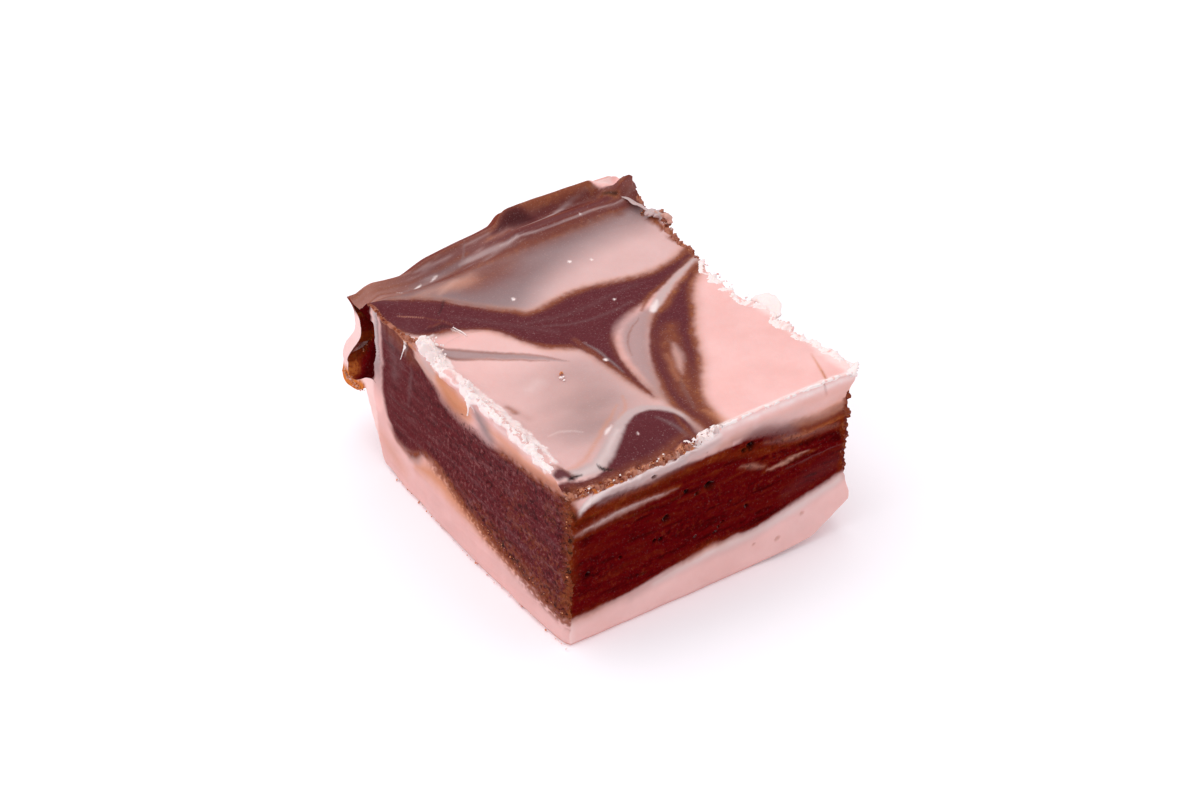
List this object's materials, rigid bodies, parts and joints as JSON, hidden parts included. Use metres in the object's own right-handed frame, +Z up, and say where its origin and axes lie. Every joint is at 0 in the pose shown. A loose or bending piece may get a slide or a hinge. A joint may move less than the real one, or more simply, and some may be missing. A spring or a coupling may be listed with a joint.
{
  "type": "fudge piece",
  "caption": "Square-cut piece of layered swirled fudge: pale base that climbs one leaning side, dark middle and marbled pale top, with a ragged lip and a small overhanging lobe.",
  "frame": {"origin": "on the surface it stands on, at the centre of the cut square", "axes": "+Z up; the side that leaned on the tray looks along +Y; the two clean cut faces look along -X and -Y"},
  "size_m": [0.0523, 0.0647, 0.0333],
  "materials": {
    "pink_base": "soft, slightly waxy pink fudge",
    "chocolate": "satin dark chocolate fudge, torn in places",
    "marbled_top": "smooth satin pink fudge marbled with brown"
  },
  "bodies": {
    "root": {"base_layer": "pink_base", "chocolate_layer": "chocolate", "top_layer": "marbled_top"}
  },
  "joints": []
}
